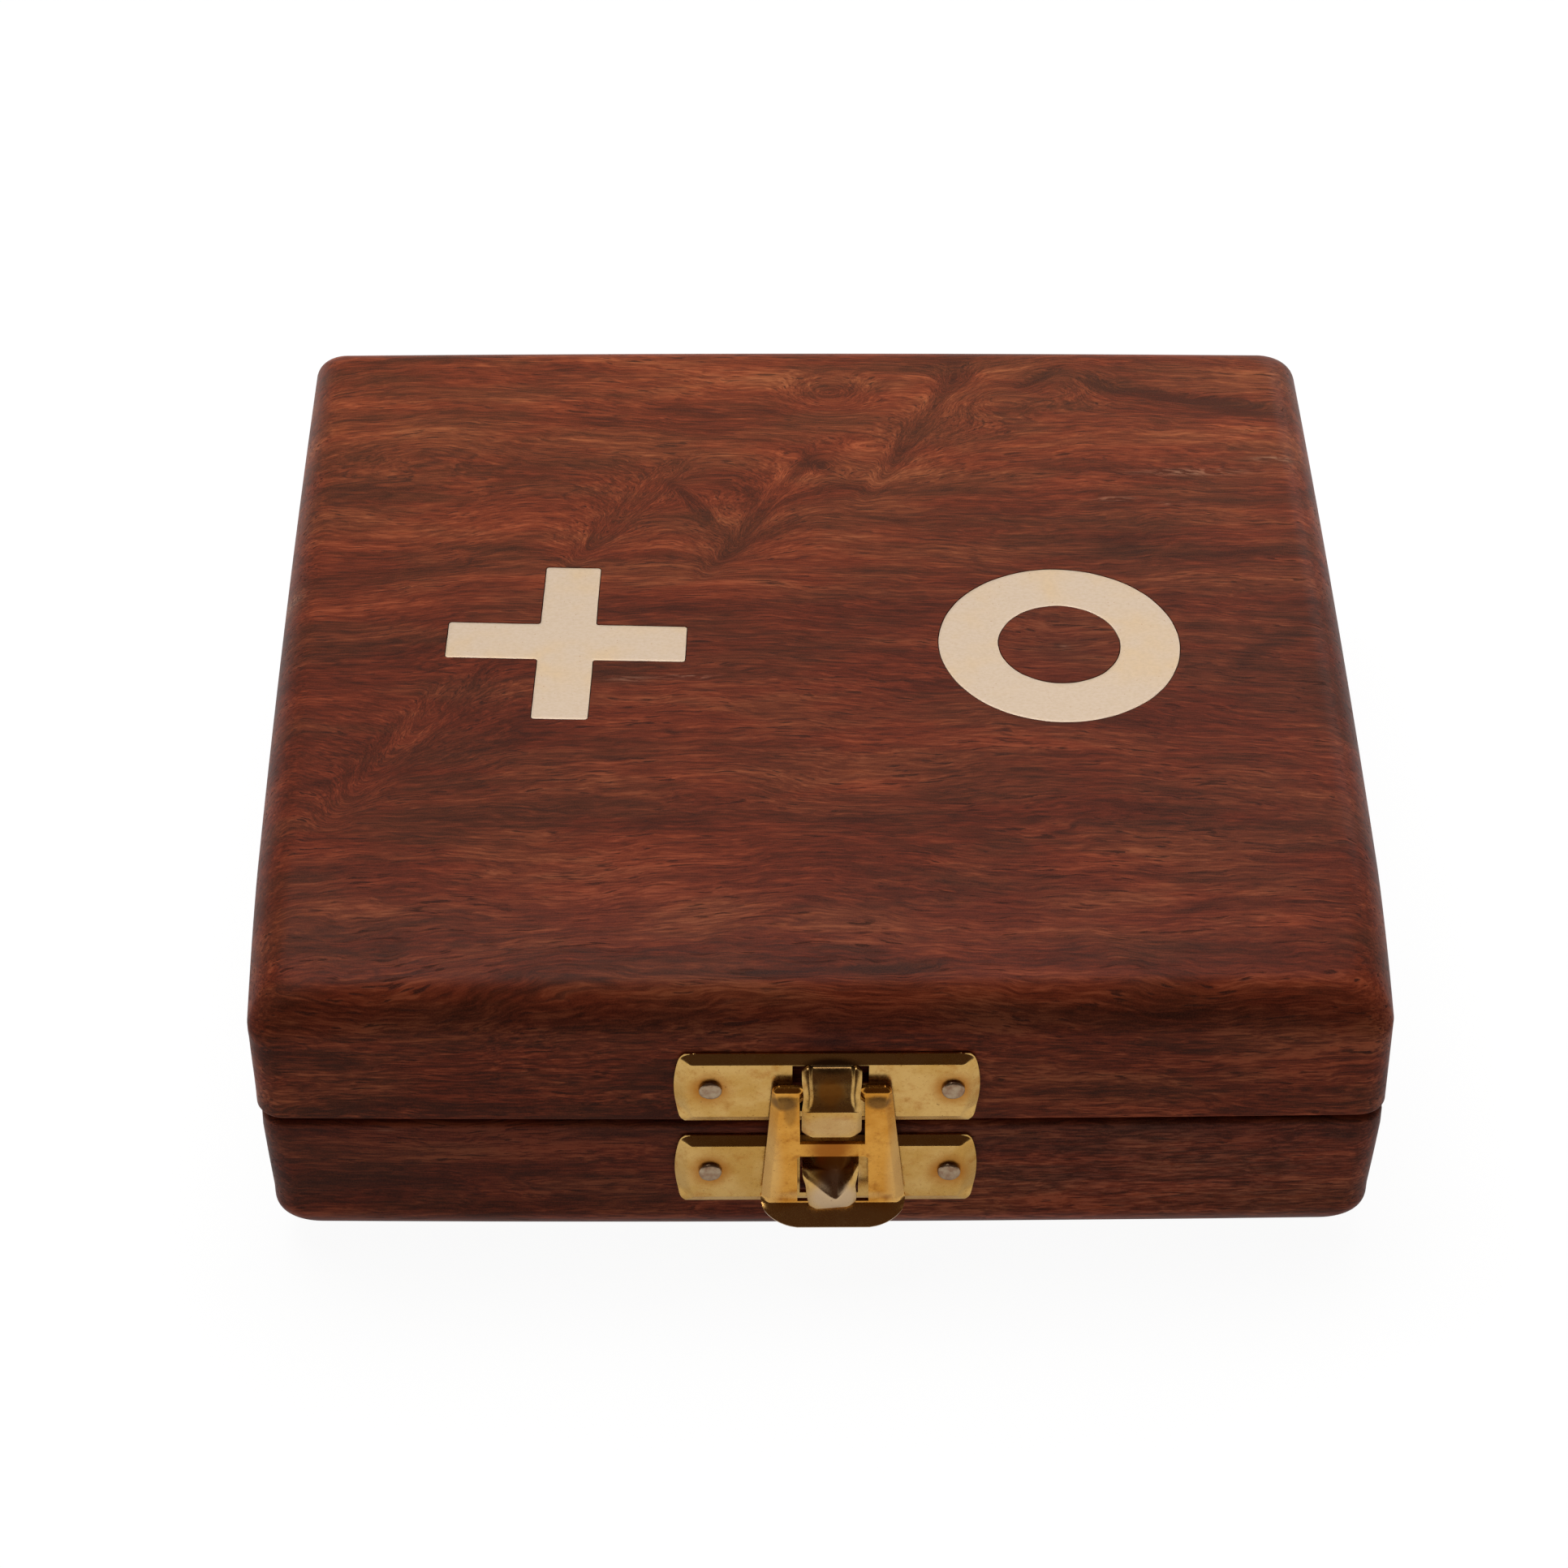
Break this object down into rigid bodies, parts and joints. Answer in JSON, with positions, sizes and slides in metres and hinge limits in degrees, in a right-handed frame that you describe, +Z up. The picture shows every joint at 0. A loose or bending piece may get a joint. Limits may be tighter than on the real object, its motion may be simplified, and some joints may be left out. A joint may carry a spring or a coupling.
{
  "type": "tic-tac-toe game box",
  "caption": "Square hinged wooden game box with a brass cross and ring let into the lid, a swing latch, and a slatted board with wooden pieces inside.",
  "frame": {"origin": "centre of the box's underside", "axes": "+X to the right as seen from the latch side, +Y from the latch to the hinges, +Z up"},
  "size_m": [0.1206, 0.1285, 0.0381],
  "materials": {
    "rosewood": "oiled, satin",
    "dark_wood": "oiled",
    "pale_wood": "oiled",
    "inlay_brass": "sanded, satin",
    "latch_brass": "plated, bright",
    "hinge_brass": "satin",
    "steel": "nickelled"
  },
  "bodies": {
    "base": {"base_block": "rosewood", "slat_front": "dark_wood", "slat_back": "dark_wood", "slat_left": "dark_wood", "slat_right": "dark_wood", "latch_bottom_plate": "latch_brass", "latch_pin_3": "steel", "latch_pin_4": "steel", "hinge_left_base_leaf": "hinge_brass", "hinge_right_base_leaf": "hinge_brass", "hinge_left_pin": "steel", "hinge_right_pin": "steel", "hinge_nail_3": "hinge_brass", "hinge_nail_4": "hinge_brass", "hinge_nail_7": "hinge_brass", "hinge_nail_8": "hinge_brass"},
    "lid": {"lid_block": "rosewood", "cross_inlay": "inlay_brass", "ring_inlay": "inlay_brass", "latch_top_plate": "latch_brass", "latch_pin_1": "steel", "latch_pin_2": "steel", "hinge_left_lid_leaf": "hinge_brass", "hinge_right_lid_leaf": "hinge_brass", "hinge_nail_1": "hinge_brass", "hinge_nail_2": "hinge_brass", "hinge_nail_5": "hinge_brass", "hinge_nail_6": "hinge_brass"},
    "latch": {"latch_flap": "latch_brass"},
    "cross_piece_1_body": {"cross_piece_1": "dark_wood"},
    "ring_piece_1_body": {"ring_piece_1": "pale_wood"},
    "cross_piece_2_body": {"cross_piece_2": "dark_wood"},
    "ring_piece_2_body": {"ring_piece_2": "pale_wood"},
    "cross_piece_3_body": {"cross_piece_3": "dark_wood"},
    "ring_piece_3_body": {"ring_piece_3": "pale_wood"},
    "cross_piece_4_body": {"cross_piece_4": "dark_wood"},
    "ring_piece_4_body": {"ring_piece_4": "pale_wood"},
    "cross_piece_5_body": {"cross_piece_5": "dark_wood"}
  },
  "joints": [
    {"name": "lid_hinge", "type": "hinge", "parent": "base", "child": "lid", "pos_m": [0, 0.06193, 0.0186], "axis": [-1, 0, 0], "range_deg": [0, 180]},
    {"name": "latch_swing", "type": "hinge", "parent": "lid", "child": "latch", "pos_m": [0.0006, -0.06232, 0.0255], "axis": [-1, 0, 0], "range_deg": [0, 120]},
    {"name": "cross_piece_1_lift", "type": "slide", "parent": "base", "child": "cross_piece_1_body", "axis": [0, 0, 1], "range_m": [0, 0.018]},
    {"name": "ring_piece_1_lift", "type": "slide", "parent": "base", "child": "ring_piece_1_body", "axis": [0, 0, 1], "range_m": [0, 0.018]},
    {"name": "cross_piece_2_lift", "type": "slide", "parent": "base", "child": "cross_piece_2_body", "axis": [0, 0, 1], "range_m": [0, 0.018]},
    {"name": "ring_piece_2_lift", "type": "slide", "parent": "base", "child": "ring_piece_2_body", "axis": [0, 0, 1], "range_m": [0, 0.018]},
    {"name": "cross_piece_3_lift", "type": "slide", "parent": "base", "child": "cross_piece_3_body", "axis": [0, 0, 1], "range_m": [0, 0.018]},
    {"name": "ring_piece_3_lift", "type": "slide", "parent": "base", "child": "ring_piece_3_body", "axis": [0, 0, 1], "range_m": [0, 0.018]},
    {"name": "cross_piece_4_lift", "type": "slide", "parent": "base", "child": "cross_piece_4_body", "axis": [0, 0, 1], "range_m": [0, 0.018]},
    {"name": "ring_piece_4_lift", "type": "slide", "parent": "base", "child": "ring_piece_4_body", "axis": [0, 0, 1], "range_m": [0, 0.018]},
    {"name": "cross_piece_5_lift", "type": "slide", "parent": "base", "child": "cross_piece_5_body", "axis": [0, 0, 1], "range_m": [0, 0.018]}
  ]
}
